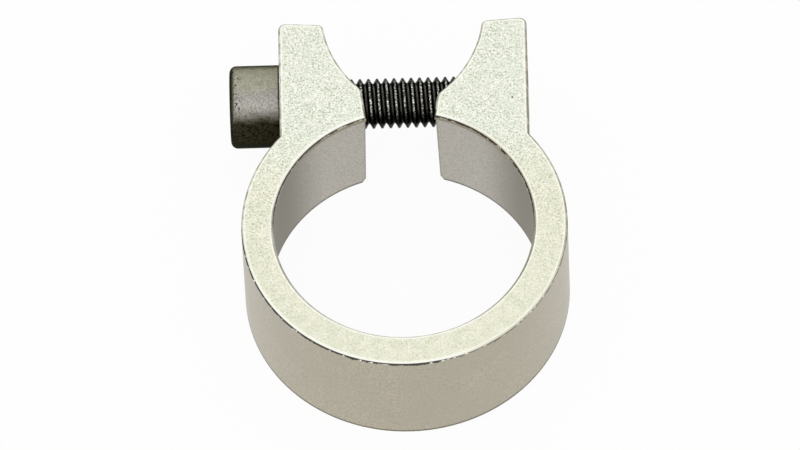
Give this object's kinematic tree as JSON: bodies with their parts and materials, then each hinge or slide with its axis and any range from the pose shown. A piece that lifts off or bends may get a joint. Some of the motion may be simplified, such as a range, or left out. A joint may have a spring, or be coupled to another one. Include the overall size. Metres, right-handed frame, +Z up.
{
  "type": "seatpost clamp",
  "caption": "Split metal band with two horned lugs and a cross screw, which closes a bicycle's seat tube on its seatpost.",
  "frame": {"origin": "on the axis of the seat tube bore, at the band's bottom face", "axes": "+Z up the bore towards the lipped top face, +Y towards the lugs, +X along the screw from its head to its end"},
  "size_m": [0.0393, 0.0469, 0.0156],
  "materials": {
    "band_metal": "satin silver with sawn and tumbled end faces",
    "screw_steel": "black oxide"
  },
  "bodies": {
    "clamp": {"clamp_body": "band_metal"},
    "screw": {"clamp_screw": "screw_steel"}
  },
  "joints": [
    {"name": "screw_turn", "type": "hinge", "parent": "clamp", "child": "screw", "pos_m": [0, 0.0213, 0.0078], "axis": [1, 0, 0], "range_deg": [-1620, 540]}
  ]
}
